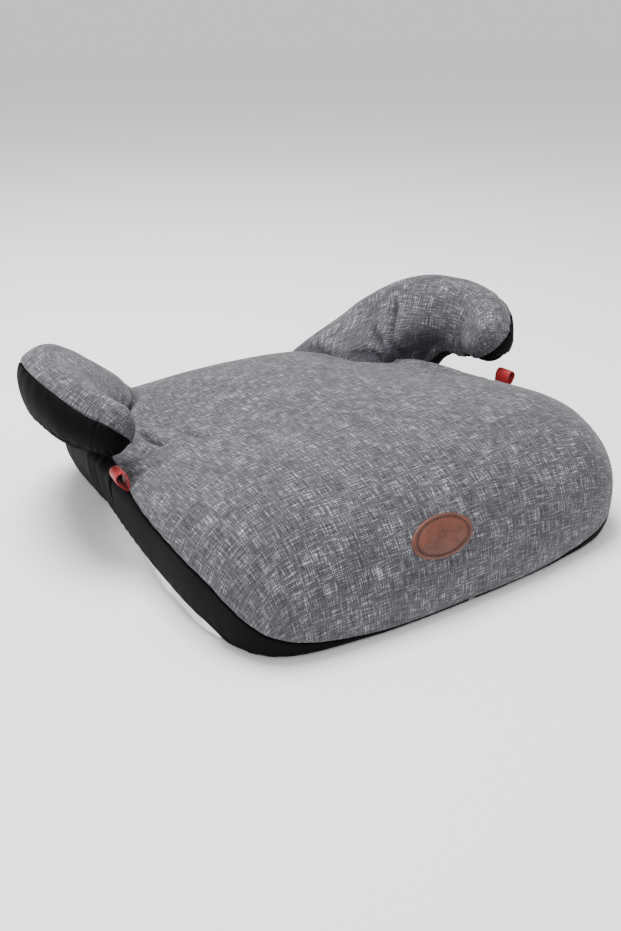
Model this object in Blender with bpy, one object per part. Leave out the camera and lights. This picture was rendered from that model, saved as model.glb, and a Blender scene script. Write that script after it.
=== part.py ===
"""Backless child booster seat, in metres, front towards -Y, standing on z = 0.

A moulded foam body with two armrest horns wears a sewn cover. Every layer of the base is an offset
of one dome-shaped surface, and every layer of an armrest is an offset of one swept horn.
"""

import math

import bmesh
import bpy
import numpy as np
from mathutils import Vector

for startup_object in list(bpy.data.objects):
    bpy.data.objects.remove(startup_object)

# --- Driving dimensions ---------------------------------------------------------------------
GAP = 0.0003  # clearance between pieces that touch
FABRIC = 0.0016  # cover cloth with its bonded foam backing
LIFT = 0.0006  # the wrapped cover stays this far above the floor
Z = np.array([0.0, 0.0, 1.0])

STATIONS = 52  # points round the base
CENTRE_TOP = 0.103  # seat height at the front edge of the dome formula
REAR_TOP = 0.074  # the same at the rear edge
CROWN = 0.015  # extra height halfway along
SIDE_FALL = 0.024  # how far the seat drops towards the armrests
DOME_EDGE = 5.5  # exponents of the dome: how late and how round it turns down
DOME_ROUND = 2.35
FOOT_RADIUS = 0.006  # rounding where the wall meets the floor line
UNDERSIDE = 0.034  # how far the surface is carried on under the base

# Half of the base, front centre to rear centre: x, y of the widest line, its height, how far the
# wall leans in below it, seam height, and where the hem is, measured from the floor line
# (positive runs on under the base, negative stops short on the wall).
HALF_BASE = (
    (0.000, -0.2082, 0.012, 0.001, 0.0040, 0.012),
    (0.090, -0.2048, 0.013, 0.001, 0.0050, 0.012),
    (0.164, -0.1888, 0.028, 0.003, 0.0200, 0.006),
    (0.192, -0.1378, 0.050, 0.006, 0.0530, -0.014),
    (0.199, -0.0738, 0.058, 0.011, 0.0660, -0.024),
    (0.198, -0.0158, 0.062, 0.016, 0.0720, -0.026),
    (0.191, 0.0492, 0.060, 0.018, 0.0710, -0.020),
    (0.186, 0.1042, 0.054, 0.017, 0.0660, -0.006),
    (0.177, 0.1662, 0.045, 0.014, 0.0590, 0.008),
    (0.140, 0.2002, 0.043, 0.012, 0.0560, 0.012),
    (0.080, 0.2072, 0.043, 0.012, 0.0560, 0.012),
    (0.000, 0.2082, 0.043, 0.012, 0.0560, 0.012),
)
DOME_SHARES = (0.15, 0.30, 0.44, 0.57, 0.68, 0.77, 0.84, 0.89)  # seat rows, as shares of its reach
PAD_ROWS = 7  # of those rows, how many the seat pad covers
SEAM_ROWS = 6  # rows from the last of them to the seam
BAND_ROWS = 6  # rows from the seam to the hem
SEAT_PAD = 0.010  # foam under the seat panel
SEAT_PAD_EDGE = 0.0015
CORE_EASE = 0.0015  # the cover sits this loosely round the core's wall
CORE_FOOT = -0.0095  # the core's wall ends here, above a chamfer

# The right armrest's centreline from inside the base to the tip: x, y, z, half height,
# half thickness, and outward lean in radians.
HORN = (
    (0.137, 0.1622, 0.044, 0.0380, 0.0330, 0.56),
    (0.161, 0.1462, 0.077, 0.0450, 0.0330, 0.52),
    (0.191, 0.1112, 0.105, 0.0445, 0.0300, 0.48),
    (0.208, 0.0652, 0.116, 0.0380, 0.0265, 0.42),
    (0.208, 0.0262, 0.117, 0.0300, 0.0240, 0.38),
    (0.194, 0.0002, 0.111, 0.0225, 0.0210, 0.36),
)
HORN_SECTIONS = 13
TIP_RINGS = 5
TIP_TURN = math.radians(87)
HORN_TIP = 0.75  # length of the rounded tip over its half height
HORN_SQUARE = 0.9  # below 1 the section is a little boxier than an ellipse
ARM_PAD = 0.0051  # foam sleeve on each armrest

# Seams along an armrest, as degrees round its section: 0 points outwards and 90 up.
RIDGE_SEAM = 70.0
BELLY_SEAM = -2.0
INNER_SEAM = -104.0
PANEL_COLUMNS = {"gusset": 6, "outer": 5, "inner": 12}

REBATE = 0.0050  # how far the core is cut back under its edge, to clear the wrapped hem
REBATE_WIDTH = 0.024
BINDING = (0.0075, 0.0025, 0.0005)  # hem casing: width, thickness, wall
ELASTIC = (0.0050, 0.0004)

BADGE = (0.029, 0.0155)  # half length and half height
BADGE_THICK = 0.0018
BADGE_X = -0.029
BADGE_Z = 0.0620
STITCH_RING = (0.82, 0.87, 0.0005)  # inner and outer share of the badge, and thread thickness
NECK_SEAM_Y = 0.006  # where the side band ends and the gusset's lower part begins
REAR_SEAM_Y = 0.2025  # where that ends and the rear band begins
LABEL_Y = (-0.136, 0.039)
LABEL_ARCS = (-0.0175, -0.0020)
LABEL_THICK = 0.0003

LOOP_Y = -0.021  # where the red tabs leave the side seam
LOOP_WIDTH = 0.018
LOOP_TALL = 0.019
LOOP_HALF = 0.0056  # half of the teardrop's thickness
LOOP_WEB = 0.0013
LOOP_LEAN = math.radians(24)


# --- Materials ------------------------------------------------------------------------------
def material(name, colour, roughness):
    made = bpy.data.materials.new(name)
    made.use_nodes = True
    shader = made.node_tree.nodes["Principled BSDF"]
    shader.inputs["Base Color"].default_value = (*colour, 1)
    shader.inputs["Roughness"].default_value = roughness
    shader.inputs["Metallic"].default_value = 0.0
    made.diffuse_color = (*colour, 1)
    return made


GREY = material("grey_melange", (0.15, 0.16, 0.18), 0.9)
BLACK = material("black_cloth", (0.010, 0.010, 0.011), 0.85)
FOAM_WHITE = material("white_bead_foam", (0.85, 0.85, 0.84), 0.7)
FOAM_SOFT = material("soft_foam", (0.80, 0.76, 0.60), 0.9)
RED = material("red_webbing", (0.55, 0.01, 0.02), 0.6)
LEATHER = material("brown_leather", (0.28, 0.09, 0.04), 0.5)
THREAD = material("dark_thread", (0.06, 0.03, 0.02), 0.7)
PAPER = material("white_label", (0.85, 0.85, 0.85), 0.4)
ELASTIC_MAT = material("black_elastic", (0.02, 0.02, 0.02), 0.8)


# --- Mesh helpers ---------------------------------------------------------------------------
def add_object(name, vertices, faces, finish, helper=False):
    """A named object from plain lists, with its faces turned outwards."""
    mesh = bpy.data.meshes.new(name)
    mesh.from_pydata([tuple(v) for v in vertices], [], faces)
    solid = bmesh.new()
    solid.from_mesh(mesh)
    bmesh.ops.recalc_face_normals(solid, faces=solid.faces)
    solid.to_mesh(mesh)
    solid.free()
    mesh.materials.append(finish)
    made = bpy.data.objects.new(name, mesh)
    bpy.context.scene.collection.objects.link(made)
    if helper:
        made.hide_render = True
        made.display_type = "WIRE"
    else:
        mesh.shade_smooth()
        mesh.set_sharp_from_angle(angle=math.radians(40))
    return made


def boolean(target, other, operation="DIFFERENCE"):
    modifier = target.modifiers.new(f"{operation.lower()}_{other.name}", "BOOLEAN")
    modifier.operation = operation
    modifier.object = other
    modifier.solver = "EXACT"


def spline(rows, t):
    """Catmull-Rom through rows, at t in rows."""
    rows = np.asarray(rows, float)
    t = np.clip(np.asarray(t, float), 0, len(rows) - 1 - 1e-9)
    at = np.floor(t).astype(int)
    f = (t - at)[:, None]
    p = [rows[np.clip(at + k, 0, len(rows) - 1)] for k in (-1, 0, 1, 2)]
    return 0.5 * (
        2 * p[1]
        + (p[2] - p[0]) * f
        + (2 * p[0] - 5 * p[1] + 4 * p[2] - p[3]) * f**2
        + (3 * p[1] - p[0] - 3 * p[2] + p[3]) * f**3
    )


def even_parameters(rows, count):
    """Spline parameters that space count points evenly along the rows' x, y line."""
    fine = np.linspace(0, len(rows) - 1, 400)
    line = spline(rows, fine)[:, :2]
    run = np.concatenate([[0], np.cumsum(np.linalg.norm(np.diff(line, axis=0), axis=1))])
    return np.interp(np.linspace(0, run[-1], count), run, fine)


def grid_faces(rows, columns, wrap):
    """Triangles over a grid, all split the same way so that stacked layers keep their distance."""
    faces = []
    for r in range(rows - 1):
        for c in range(columns if wrap else columns - 1):
            a, b = r * columns + c, r * columns + (c + 1) % columns
            faces += [(a, b, b + columns), (a, b + columns, a + columns)]
    return faces


def slab(outer, inner, wrap):
    """A closed shell between two grids of points [row][column] of the same size."""
    rows, columns = outer.shape[:2]
    vertices = np.concatenate([outer.reshape(-1, 3), inner.reshape(-1, 3)])
    size = rows * columns
    faces = grid_faces(rows, columns, wrap)
    faces += [tuple(size + i for i in reversed(f)) for f in faces]
    for r in (0, rows - 1):
        for c in range(columns if wrap else columns - 1):
            a, b = r * columns + c, r * columns + (c + 1) % columns
            faces += [(a, b, size + b), (a, size + b, size + a)]
    if not wrap:
        for c in (0, columns - 1):
            for r in range(rows - 1):
                a, b = r * columns + c, (r + 1) * columns + c
                faces += [(a, b, size + b), (a, size + b, size + a)]
    return vertices, faces


def disc_slab(outer, inner, outer_centre, inner_centre):
    """As slab, but the first row closes on a centre point."""
    rows, columns = outer.shape[:2]
    size = rows * columns
    centres = [outer_centre, inner_centre]
    vertices = np.concatenate([outer.reshape(-1, 3), inner.reshape(-1, 3), centres])
    faces = grid_faces(rows, columns, True)
    faces += [tuple(size + i for i in reversed(f)) for f in faces]
    for c in range(columns):
        d = (c + 1) % columns
        edge = (rows - 1) * columns
        faces.append((edge + c, edge + d, size + edge + d))
        faces.append((edge + c, size + edge + d, size + edge + c))
        faces.append((2 * size, d, c))
        faces.append((2 * size + 1, size + c, size + d))
    return vertices, faces


def lathe_like(grid, first, last):
    """A closed body from rings [row][column], with a centre point at each end."""
    rows, columns = grid.shape[:2]
    vertices = np.concatenate([grid.reshape(-1, 3), [first], [last]])
    faces = grid_faces(rows, columns, True)
    end = (rows - 1) * columns
    for c in range(columns):
        d = (c + 1) % columns
        faces.append((rows * columns, d, c))
        faces.append((rows * columns + 1, end + c, end + d))
    return vertices, faces


# --- The base surface -----------------------------------------------------------------------
def top_height(x, y):
    along = (y - HALF_BASE[0][1]) / (HALF_BASE[-1][1] - HALF_BASE[0][1])
    back = np.clip((y + 0.136) / 0.15, 0, 1)
    back = back * back * (3 - 2 * back)
    rise = CENTRE_TOP + (REAR_TOP - CENTRE_TOP) * along + 4 * CROWN * along * (1 - along)
    return rise - SIDE_FALL * (x / 0.2) ** 2 * back


DOME_SAMPLES = 40


def wall_shape(ring):
    """How far the wall drops before it rounds into the floor line, and how it leans there."""
    drop = ring[:, 2] - LIFT - FOOT_RADIUS
    for _ in range(4):
        lean = np.arctan2(2 * ring[:, 3], drop)
        drop = ring[:, 2] - LIFT - FOOT_RADIUS * (1 - np.sin(lean))
    return drop, lean


def dense_profiles():
    """Points, normals and arc length on the base, [station][sample]; arc 0 is the floor line."""
    half = spline(HALF_BASE, even_parameters(HALF_BASE, STATIONS // 2 + 1))
    mirrored = half[::-1][1:-1] * np.array([-1, 1, 1, 1, 1, 1])
    ring = np.concatenate([half, mirrored])
    samples = []
    for k in np.sin(np.linspace(0, 0.5 * math.pi, DOME_SAMPLES)):
        x, y = k * ring[:, 0], k * ring[:, 1]
        edge = (1 - min(k, 1.0) ** DOME_EDGE) ** (1 / DOME_ROUND)
        samples.append(np.stack([x, y, ring[:, 2] + (top_height(x, y) - ring[:, 2]) * edge], 1))
    reach = np.hypot(ring[:, 0], ring[:, 1])
    drop, lean = wall_shape(ring)
    for v in np.linspace(0, 1, 9)[1:]:
        share = (reach - ring[:, 3] * v**2) / reach
        samples.append(np.stack([ring[:, 0] * share, ring[:, 1] * share, ring[:, 2] - drop * v], 1))
    for turn in np.linspace(0, 1, 7)[1:]:
        tilt = lean + (0.5 * math.pi - lean) * turn
        share = (reach - ring[:, 3] - FOOT_RADIUS * (np.cos(lean) - np.cos(tilt))) / reach
        z = ring[:, 2] - drop - FOOT_RADIUS * (np.sin(tilt) - np.sin(lean))
        samples.append(np.stack([ring[:, 0] * share, ring[:, 1] * share, z], 1))
    floor = len(samples) - 1
    tucked = ring[:, 3] + FOOT_RADIUS * np.cos(lean)
    for inboard in np.linspace(0, UNDERSIDE, 6)[1:]:
        share = (reach - tucked - inboard) / reach
        samples.append(np.stack([ring[:, 0] * share, ring[:, 1] * share, np.full(len(ring), LIFT)], 1))
    points = np.stack(samples, 1)
    along = np.gradient(points, axis=1)
    around = (np.roll(points, -1, axis=0) - np.roll(points, 1, axis=0)) / 2
    normals = np.cross(around, along) * -1
    normals[:, 0] = (0, 0, 1)
    normals /= np.linalg.norm(normals, axis=2)[:, :, None]
    steps = np.linalg.norm(np.diff(points, axis=1), axis=2)
    arcs = np.concatenate([np.zeros((len(ring), 1)), np.cumsum(steps, axis=1)], axis=1)
    arcs -= arcs[:, floor : floor + 1]
    return ring, points, normals, arcs, tucked


RING, POINTS, NORMALS, ARCS, TUCKED = dense_profiles()
COUNT = len(RING)
TOP_CENTRE = POINTS[0, 0]
STATION_LENGTH = float(np.hypot(*(RING[1, :2] - RING[0, :2])))


def surface(station, arc, depth):
    """The point at this arc of a station's profile, depth inside the outer surface.

    A station may lie between two columns; the point is then mixed from both.
    """
    low = int(math.floor(station))
    share = station - low
    total = np.zeros(3)
    for s, weight in ((low % COUNT, 1 - share), ((low + 1) % COUNT, share)):
        if weight:
            point = np.array([np.interp(arc, ARCS[s], POINTS[s, :, i]) for i in range(3)])
            normal = np.array([np.interp(arc, ARCS[s], NORMALS[s, :, i]) for i in range(3)])
            total += weight * (point - depth * normal / np.linalg.norm(normal))
    return total


def arc_at_height(station, z):
    """Arc of the outer shoulder or wall at height z."""
    outer = slice(DOME_SAMPLES // 2, DOME_SAMPLES + 13)
    return float(np.interp(-z, -POINTS[station, outer, 2], ARCS[station, outer]))


def hem_arc(station):
    return float(RING[station, 5])


def seam_arc(station):
    """The seam between seat panel and band."""
    return arc_at_height(station, RING[station, 4])


def station_at(y):
    """Where the right half of the outline passes y, between its widest points."""
    half = slice(3, COUNT // 2 - 3)
    return float(np.interp(y, RING[half, 1], np.arange(COUNT)[half]))


def run_between(first, last):
    """Stations from first to last with those between them, half a gap short at each end."""
    trim = 0.5 * GAP / STATION_LENGTH
    return [first + trim, *range(math.floor(first) + 1, math.ceil(last)), last - trim]


def mirrored(run):
    return [COUNT - station for station in reversed(run)]


def dome_arc(station, share):
    """The arc where the dome has gone out to this share of its reach."""
    reach = np.hypot(POINTS[station, :DOME_SAMPLES, 0], POINTS[station, :DOME_SAMPLES, 1])
    return float(np.interp(share * reach[-1], reach, ARCS[station, :DOME_SAMPLES]))


def dome_arcs(station):
    return [dome_arc(station, share) for share in DOME_SHARES]


def rows_to(start, end, rows):
    """Arcs after start and up to end, the last three close together to follow a tight bend there."""
    close = min(0.0165, 0.6 * (end - start))
    last = [end - close * k for k in (0.667, 0.333, 0)]
    return list(np.linspace(start, end - close, rows - 2)[1:]) + last


def seat_arcs(station):
    """Rows of the seat panel, from near its centre to the seam."""
    dome = dome_arcs(station)
    return dome + rows_to(dome[-1], seam_arc(station) - GAP / 2, SEAM_ROWS)


def band_arcs(station):
    """Rows of the side band, from the seam to the hem."""
    start = seam_arc(station) + GAP / 2
    return [start] + rows_to(start, hem_arc(station), BAND_ROWS)


def grid_of(arcs_of, depth, stations=None):
    """Surface points [row][station], at each station's arcs and at one depth, or one for each row."""

    def column(station):
        arcs = arcs_of(station)
        depths = depth if np.ndim(depth) else [depth] * len(arcs)
        return np.array([surface(station, arc, d) for arc, d in zip(arcs, depths)])

    columns = []
    for station in range(COUNT) if stations is None else stations:
        low = math.floor(station)
        share = station - low
        mixed = column(low % COUNT) * (1 - share)
        if share:
            mixed = mixed + column((low + 1) % COUNT) * share
        columns.append(mixed)
    return np.array(columns).transpose(1, 0, 2)


def rim(inboard, z):
    """A level ring, inboard of the floor line."""
    share = 1 - (TUCKED + inboard) / np.hypot(RING[:, 0], RING[:, 1])
    return np.stack([RING[:, 0] * share, RING[:, 1] * share, np.full(COUNT, z)], 1)


def base_solid(name, depth):
    """The whole base as one closed helper body, depth inside its outer surface."""

    def arcs(station):
        seat = seat_arcs(station)
        band_rows = [max(arc, seat[-1] + 2 * GAP * (i + 1)) for i, arc in enumerate(band_arcs(station))]
        return seat + band_rows + [0.020, 0.028]

    vertices, faces = lathe_like(grid_of(arcs, depth), TOP_CENTRE - Z * depth, (0, 0, LIFT + depth))
    return add_object(name, vertices, faces, FOAM_WHITE, helper=True)


# --- The armrest surface --------------------------------------------------------------------
def horn_frames(count):
    """Centres, up and outward unit vectors and half sizes along the right armrest."""
    rows = spline(HORN, np.linspace(0, len(HORN) - 1, count))
    centres = rows[:, :3]
    forward = np.gradient(centres, axis=0)
    forward /= np.linalg.norm(forward, axis=1)[:, None]
    outward = np.stack([np.cos(rows[:, 5]), 0 * rows[:, 5], -np.sin(rows[:, 5])], 1)
    outward -= (outward * forward).sum(1)[:, None] * forward
    outward /= np.linalg.norm(outward, axis=1)[:, None]
    return centres, forward, outward, np.cross(forward, outward), rows[:, 3:5]


def section(angles, half_height, half_thick, outward, up):
    ca, sa = np.cos(angles), np.sin(angles)
    wide = np.sign(ca) * np.abs(ca) ** HORN_SQUARE * half_thick
    tall = np.sign(sa) * np.abs(sa) ** HORN_SQUARE * half_height
    return wide[:, None] * outward + tall[:, None] * up


def seam_angles(part, margin=0.0):
    """Angles of one panel's columns, from one of its seams to the other."""
    first, last = {
        "gusset": (INNER_SEAM, BELLY_SEAM),
        "outer": (BELLY_SEAM, RIDGE_SEAM),
        "inner": (RIDGE_SEAM, 360 + INNER_SEAM),
    }[part]
    return np.radians(np.linspace(first + margin, last - margin, PANEL_COLUMNS[part]))


def horn_grid(side, depth, angles):
    """Rings of surface points along an armrest and round its tip, with its start and tip points."""
    centres, forward, outward, up, halves = horn_frames(HORN_SECTIONS)
    rings = [
        centres[i] + section(angles, halves[i, 0] - depth, halves[i, 1] - depth, outward[i], up[i])
        for i in range(HORN_SECTIONS)
    ]
    length = halves[-1, 0] * HORN_TIP - depth
    tip_ring = section(angles, halves[-1, 0] - depth, halves[-1, 1] - depth, outward[-1], up[-1])
    for turn in np.linspace(0, TIP_TURN, TIP_RINGS + 1)[1:]:
        rings.append(centres[-1] + forward[-1] * length * math.sin(turn) + tip_ring * math.cos(turn))
    mirror = np.array([side, 1, 1])
    return np.array(rings) * mirror, centres[0] * mirror, (centres[-1] + forward[-1] * length) * mirror


def round_angles():
    """All the panels' columns, once round the section."""
    return np.concatenate([seam_angles(part)[:-1] for part in PANEL_COLUMNS])


def horn_solid(name, side, depth):
    """One armrest as a closed helper body, depth inside its outer surface."""
    return add_object(name, *lathe_like(*horn_grid(side, depth, round_angles())), BLACK, helper=True)


def horn_panel(part, side, word, finish):
    """The cloth of an armrest between two seams."""
    angles = seam_angles(part, margin=math.degrees(0.5 * GAP / 0.02))
    outer, inner = (horn_grid(side, depth, angles)[0] for depth in (0.0, FABRIC))
    return add_object(f"cover_armrest_{part}_{word}", *slab(outer, inner, False), finish)


# --- Pieces ---------------------------------------------------------------------------------
def pad_depths():
    """How thick the seat pad is at each of its rows."""
    shares = np.array(DOME_SHARES[:PAD_ROWS]) / DOME_SHARES[PAD_ROWS - 1]
    return SEAT_PAD_EDGE + (SEAT_PAD - SEAT_PAD_EDGE) * (1 - shares**4)


def make_core(horns):
    """The moulded body: dome with a recess for the seat pad, rebate under its edge, flat foot."""
    under_cover = FABRIC + GAP
    recess = grid_of(lambda s: dome_arcs(s)[:PAD_ROWS], under_cover + GAP + pad_depths())

    def wall_arcs(station):
        seat = seat_arcs(station)
        rows = seat[PAD_ROWS:] + band_arcs(station)[1:5]
        rows = [min(arc, CORE_FOOT - 0.0008 * (len(rows) - i)) for i, arc in enumerate(rows)]
        return [seat[PAD_ROWS - 1] + 2 * GAP] + rows + [CORE_FOOT]

    rows = len(wall_arcs(0))
    wall = grid_of(wall_arcs, [under_cover + GAP] + [under_cover + CORE_EASE] * (rows - 1))
    rims = np.array([rim(0.007, REBATE), rim(REBATE_WIDTH, REBATE), rim(REBATE_WIDTH + 0.001, 0.0)])
    grid = np.concatenate([recess, wall, rims])
    top = TOP_CENTRE - Z * (under_cover + GAP + SEAT_PAD)
    core = add_object("foam_core", *lathe_like(grid, top, (0, 0, 0)), FOAM_WHITE)
    for horn in horns:
        boolean(core, horn, "UNION")


def make_seat_pad(footprints):
    under_cover = FABRIC + GAP

    def arcs(station):
        rows = dome_arcs(station)[:PAD_ROWS]
        return rows[:-1] + [rows[-1] - GAP]

    outer, inner = grid_of(arcs, under_cover), grid_of(arcs, under_cover + pad_depths())
    top = TOP_CENTRE - Z * under_cover
    pad = add_object("seat_pad", *disc_slab(outer, inner, top, top - Z * SEAT_PAD), FOAM_SOFT)
    for footprint in footprints:
        boolean(pad, footprint)


def make_seat_panel(footprints):
    outer, inner = grid_of(seat_arcs, 0.0), grid_of(seat_arcs, FABRIC)
    under_centre = TOP_CENTRE - Z * FABRIC
    panel = add_object("cover_seat_top", *disc_slab(outer, inner, TOP_CENTRE, under_centre), GREY)
    for footprint in footprints:
        boolean(panel, footprint)


def band(name, stations, finish, helper=False):
    """A stretch of the black side band, from the seam to the hem."""
    outer, inner = (grid_of(band_arcs, depth, stations) for depth in (0.0, FABRIC))
    return add_object(name, *slab(outer, inner, False), finish, helper)


def make_bands():
    neck, corner = station_at(NECK_SEAM_Y), station_at(REAR_SEAM_Y)
    side = run_between(0, neck)
    band("cover_side_right", side, BLACK)
    band("cover_side_left", mirrored(side), BLACK)
    band("cover_rear", run_between(corner, COUNT - corner), BLACK)


def make_armrest(side, word, base_outer, base_mid):
    """The panels, gusset and foam sleeve of one armrest. The gusset runs on down the base's side."""
    inner = horn_panel("inner", side, word, GREY)
    boolean(inner, base_outer)
    outer = horn_panel("outer", side, word, BLACK)
    boolean(outer, base_outer)
    gusset = horn_panel("gusset", side, word, BLACK)
    boolean(gusset, base_mid)
    run = run_between(station_at(NECK_SEAM_Y), station_at(REAR_SEAM_Y))
    skirt = band(f"skirt_{word}", run if side > 0 else mirrored(run), BLACK, helper=True)
    boolean(skirt, horn_solid(f"horn_hole_{word}", side, FABRIC + GAP / 2))
    boolean(gusset, skirt, "UNION")
    sleeve_top = FABRIC + 3 * GAP
    skins = [horn_grid(side, depth, round_angles()) for depth in (sleeve_top, sleeve_top + ARM_PAD)]
    sleeve_shape = disc_slab(skins[0][0][::-1], skins[1][0][::-1], skins[0][2], skins[1][2])
    sleeve = add_object(f"armrest_pad_{word}", *sleeve_shape, FOAM_SOFT)
    boolean(sleeve, base_outer)


def ring_body(name, outline, finish):
    """A body that runs all round the hem, from a section of (distance past the hem, depth) points."""
    columns = [
        [surface(s, hem_arc(s) + 2 * GAP + along, depth) for along, depth in outline]
        for s in range(COUNT)
    ]
    faces = []
    size = len(outline)
    for s in range(COUNT):
        for c in range(size):
            d = (c + 1) % size
            here, ahead = s * size, (s + 1) % COUNT * size
            if sum(outline[d]) > sum(outline[c]):
                faces += [(here + c, here + d, ahead + d), (here + c, ahead + d, ahead + c)]
            else:
                faces += [(here + c, here + d, ahead + c), (here + d, ahead + d, ahead + c)]
    return add_object(name, np.array(columns).reshape(-1, 3), faces, finish)


def make_hem():
    """A folded casing, open towards its free edge, with flat elastic inside."""
    width, thick, wall = BINDING
    out = np.linspace(0, width, 5)
    fold = np.linspace(wall, width, 5)
    casing = [(a, 0) for a in out] + [(a, wall) for a in fold[::-1]]
    casing += [(a, thick - wall) for a in fold] + [(a, thick) for a in out[::-1]]
    ring_body("hem_binding", casing, BLACK)
    low = (thick - ELASTIC[1]) / 2
    run = np.linspace(wall + 0.0007, wall + 0.0007 + ELASTIC[0], 5)
    flat = [(a, low) for a in run] + [(a, low + ELASTIC[1]) for a in run[::-1]]
    ring_body("hem_elastic", flat, ELASTIC_MAT)


def front_point(x, along, depth):
    """A point on the front, x from the middle and along the profile from the badge's height."""
    spacing = RING[1, 0] - RING[0, 0]
    return surface(x / spacing, arc_at_height(0, BADGE_Z) - along, depth)


def oval_grid(shares, depth, columns=28):
    turns = np.linspace(0, 2 * math.pi, columns, endpoint=False)
    rows = []
    for k in shares:
        half_wide, half_tall = BADGE[0] * k, BADGE[1] * k
        places = [(BADGE_X + half_wide * math.cos(t), half_tall * math.sin(t)) for t in turns]
        rows.append([front_point(x, along, depth) for x, along in places])
    return np.array(rows)


def make_badge():
    shares = (0.35, 0.7, 0.97, 1.0)
    back, face = -GAP, -GAP - BADGE_THICK
    outer = oval_grid(shares, face)
    outer[-1] = oval_grid(shares[-1:], face + 0.0005)[0]
    inner = oval_grid(shares, back)
    ends = [front_point(BADGE_X, 0, depth) for depth in (face, back)]
    add_object("badge", *disc_slab(outer, inner, *ends), LEATHER)
    low, high, thick = STITCH_RING
    ring = [oval_grid((low, high), face - GAP - height) for height in (thick, 0.0)]
    add_object("badge_stitching", *slab(*ring, True), THREAD)


def make_label():
    """The label on the core's left wall, below the raised hem."""
    stations = mirrored(run_between(station_at(LABEL_Y[0]), station_at(LABEL_Y[1])))
    depth = FABRIC + CORE_EASE

    def arcs(station):
        return list(np.linspace(*LABEL_ARCS, 5))

    outer, inner = (grid_of(arcs, d, stations) for d in (depth - LABEL_THICK, depth))
    add_object("side_label", *slab(outer, inner, False), PAPER)


def loop_frame(side):
    """Root point on the side seam, then the seam's, the standing and the thickness directions."""
    station = station_at(LOOP_Y)
    low = int(station)
    arc = seam_arc(low) * (1 - station + low) + seam_arc(low + 1) * (station - low)
    root = surface(station, arc, -LOOP_WEB - 2 * GAP)
    ahead = surface(station + 0.5, arc, 0) - surface(station - 0.5, arc, 0)
    along = np.array([ahead[0], ahead[1], 0.0]) / math.hypot(ahead[0], ahead[1])
    out = np.array([along[1], -along[0], 0.0])
    stand = math.cos(LOOP_LEAN) * Z + math.sin(LOOP_LEAN) * out
    mirror = np.array([side, 1, 1])
    return root * mirror, along * mirror, stand * mirror, np.cross(along, stand) * mirror


def teardrop(length, half):
    """Points (up, across) round a drop that is narrow at its root."""
    points = []
    for turn in np.linspace(0, 2 * math.pi, 20, endpoint=False) + math.pi / 20:
        up = length * (1 - math.cos(turn)) / 2
        across = 1.25 * half * math.sin(turn) * abs(math.sin(turn / 2)) ** 1.2
        if up < 0.4 * length:
            across = math.copysign(max(abs(across), min(half, LOOP_WEB)), across)
        points.append((up, across))
    return points


def make_loop(side, word):
    """A red webbing tab, folded into a drop, with its origin on its hinge line at the seam."""
    root, along, stand, across = loop_frame(side)
    outer = teardrop(LOOP_TALL, LOOP_HALF)
    lower, slimmer = 1 - 4 * LOOP_WEB / LOOP_TALL, 1 - LOOP_WEB / LOOP_HALF
    inner = []
    for up, w in outer:
        half = max(abs(w) * slimmer, 0.0002)
        inner.append((3 * LOOP_WEB + up * lower, math.copysign(half, w)))

    def grid(outline):
        ends = (-LOOP_WIDTH / 2, LOOP_WIDTH / 2)
        return np.array([[along * e + stand * up + across * w for up, w in outline] for e in ends])

    made = add_object(f"belt_loop_{word}", *slab(grid(outer), grid(inner), True), RED)
    made.location = Vector(root)


SIDES = ((-1, "left"), (1, "right"))


def main():
    base_outer = base_solid("base_outside", -2 * GAP)
    base_mid = base_solid("base_mid", FABRIC / 2)
    footprints = [horn_solid(f"horn_footprint_{word}", side, -GAP) for side, word in SIDES]
    cores = [horn_solid(f"horn_core_{word}", side, FABRIC + 5 * GAP + ARM_PAD) for side, word in SIDES]
    make_core(cores)
    make_seat_pad(footprints)
    make_seat_panel(footprints)
    make_bands()
    for side, word in SIDES:
        make_armrest(side, word, base_outer, base_mid)
        make_loop(side, word)
    make_hem()
    make_badge()
    make_label()


main()
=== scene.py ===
"""Looks of the backless child booster seat: the sewn cover, its trim and the studio round them.

Metres, front towards -Y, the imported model's own frame. The cloth surfaces repeat the base and
armrest shapes of the CAD part at a finer pitch and add what sewing and stretching do to them.
"""

import math

import bmesh
import bpy
import numpy as np
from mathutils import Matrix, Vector, noise


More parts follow.
